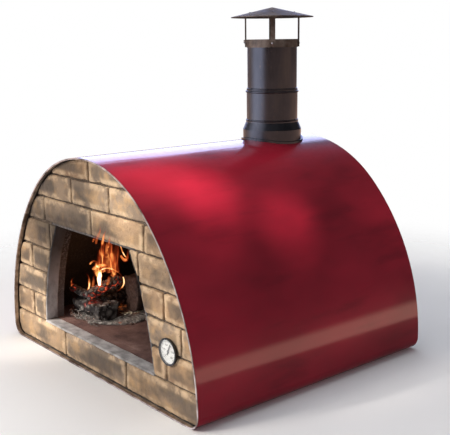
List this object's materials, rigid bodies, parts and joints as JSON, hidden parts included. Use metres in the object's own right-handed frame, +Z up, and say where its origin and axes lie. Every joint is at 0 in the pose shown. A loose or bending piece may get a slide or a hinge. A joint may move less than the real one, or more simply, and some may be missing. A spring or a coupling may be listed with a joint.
{
  "type": "wood fired pizza oven",
  "caption": "Barrel-shaped wood fired pizza oven: steel casing over a firebrick vault, brick front, open mouth, dial thermometer, flue pipe and rain cap.",
  "frame": {"origin": "on the resting surface, under the middle of the casing", "axes": "+X to the right seen from the front, +Y from the mouth to the back, +Z up"},
  "size_m": [0.8, 0.7, 0.843],
  "materials": {
    "red_enamel": "glossy deep red enamel",
    "edge_steel": "bare rolled edge trim",
    "pan_steel": "dark speckled steel",
    "galvanised_steel": "galvanised sheet",
    "zinc_fasteners": "zinc plated",
    "flue_steel": "semi-gloss dark stove pipe",
    "cap_steel": "weathered brown-grey steel",
    "face_brick": "matt tan brick with grey patches",
    "mortar": "rough sanded mortar",
    "cement": "trowelled grey cement, soot at the top",
    "refractory_slab": "sooty cast refractory",
    "firebrick": "matt firebrick, sooty inside",
    "hearth_tile": "worn fireclay tile",
    "insulation_board": "calcium silicate board",
    "ceramic_blanket": "ceramic fibre blanket",
    "black_bezel": "satin black",
    "dial_glass": "clear glass",
    "dial_white": "matt white print",
    "needle_black": "matt black",
    "stem_steel": "stainless steel",
    "brass_fitting": "plain brass",
    "split_wood": "split firewood",
    "charred_wood": "charred, ashy",
    "wood_ash": "loose ash and embers"
  },
  "bodies": {
    "oven": {"ash_bed": "wood_ash", "backing_slab": "refractory_slab", "base_pan": "pan_steel", "branch_log": "charred_wood", "brick_course_1": "face_brick", "brick_course_2": "face_brick", "brick_course_3": "face_brick", "brick_course_4": "face_brick", "brick_course_5": "face_brick", "brick_course_6": "face_brick", "brick_course_7": "face_brick", "brick_course_8": "face_brick", "burning_log": "charred_wood", "casing_shell": "red_enamel", "charred_log": "charred_wood", "collar_packing": "ceramic_blanket", "ember_log": "charred_wood", "floor_insulation_board": "insulation_board", "flue_block": "refractory_slab", "flue_collar": "flue_steel", "flue_flashing": "flue_steel", "front_edge_trim": "edge_steel", "hearth_tiles": "hearth_tile", "mortar_joints": "mortar", "mouth_jamb_left": "cement", "mouth_jamb_right": "cement", "mouth_lintel": "pan_steel", "mouth_sill": "cement", "rear_insulation": "ceramic_blanket", "rear_panel": "galvanised_steel", "rear_panel_screws": "zinc_fasteners", "rear_wall_bricks": "firebrick", "split_log": "split_wood", "thermometer_bushing": "brass_fitting", "thermometer_nut": "brass_fitting", "threshold_tile": "hearth_tile", "vault_insulation": "ceramic_blanket", "vault_mortar": "mortar", "vault_ring_1": "firebrick", "vault_ring_2": "firebrick", "vault_ring_3": "firebrick", "vault_ring_4": "firebrick", "vault_ring_5": "firebrick"},
    "lower_pipe": {"flue_pipe_lower": "flue_steel"},
    "upper_pipe": {"flue_pipe_upper": "flue_steel"},
    "cap": {"cap_band": "cap_steel", "cap_clamp_screw": "zinc_fasteners", "cap_clamp_nut": "zinc_fasteners", "cap_struts": "cap_steel", "cap_rivets": "zinc_fasteners", "cap_cone": "cap_steel"},
    "thermometer": {"thermometer_case": "black_bezel", "thermometer_bezel": "black_bezel", "thermometer_glass": "dial_glass", "thermometer_dial": "dial_white", "thermometer_stem": "stem_steel", "bimetal_coil": "stem_steel"},
    "needle": {"thermometer_needle": "needle_black", "needle_spindle": "stem_steel"}
  },
  "joints": [
    {"name": "lower_pipe_lift", "type": "slide", "parent": "oven", "child": "lower_pipe", "axis": [0, 0, 1], "range_m": [0, 0.06]},
    {"name": "upper_pipe_lift", "type": "slide", "parent": "lower_pipe", "child": "upper_pipe", "axis": [0, 0, 1], "range_m": [0, 0.045]},
    {"name": "cap_lift", "type": "slide", "parent": "upper_pipe", "child": "cap", "axis": [0, 0, 1], "range_m": [0, 0.025]},
    {"name": "thermometer_pull", "type": "slide", "parent": "oven", "child": "thermometer", "axis": [0, -1, 0], "range_m": [0, 0.1]},
    {"name": "needle_turn", "type": "hinge", "parent": "thermometer", "child": "needle", "pos_m": [0.2955, -0.343, 0.142], "axis": [0, 1, 0], "range_deg": [-160, 110]}
  ]
}
